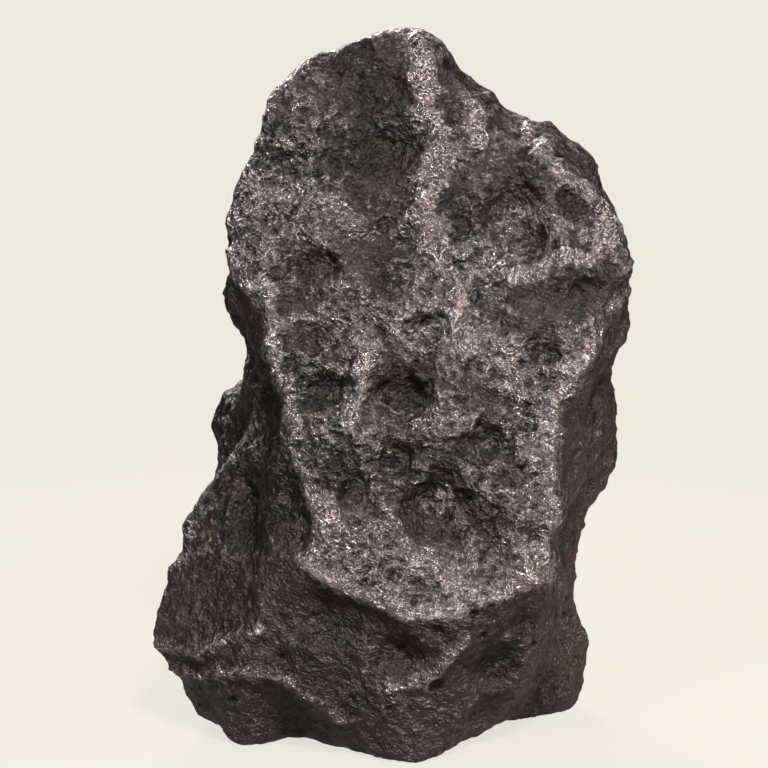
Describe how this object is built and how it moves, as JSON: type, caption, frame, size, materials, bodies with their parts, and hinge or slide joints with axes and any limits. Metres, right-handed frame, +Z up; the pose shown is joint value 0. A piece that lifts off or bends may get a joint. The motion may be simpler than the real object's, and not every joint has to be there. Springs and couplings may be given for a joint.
{
  "type": "iron meteorite",
  "caption": "Upright lump of dark nickel-iron covered in thumbprint hollows, standing on its worn lower corners as a display or scenery stone.",
  "frame": {"origin": "centre of the bounding box's footprint, at the plane the lump's feet stand on", "axes": "+Z up along the lump's length, +Y to its back through its thickness, +X to its right, seen from the flat thumbprinted face"},
  "size_m": [0.1378, 0.1062, 0.2018],
  "materials": {
    "meteoritic_iron": "dark oxide skin, burnished to grey metal on the high points"
  },
  "bodies": {
    "root": {"meteorite": "meteoritic_iron"}
  },
  "joints": []
}
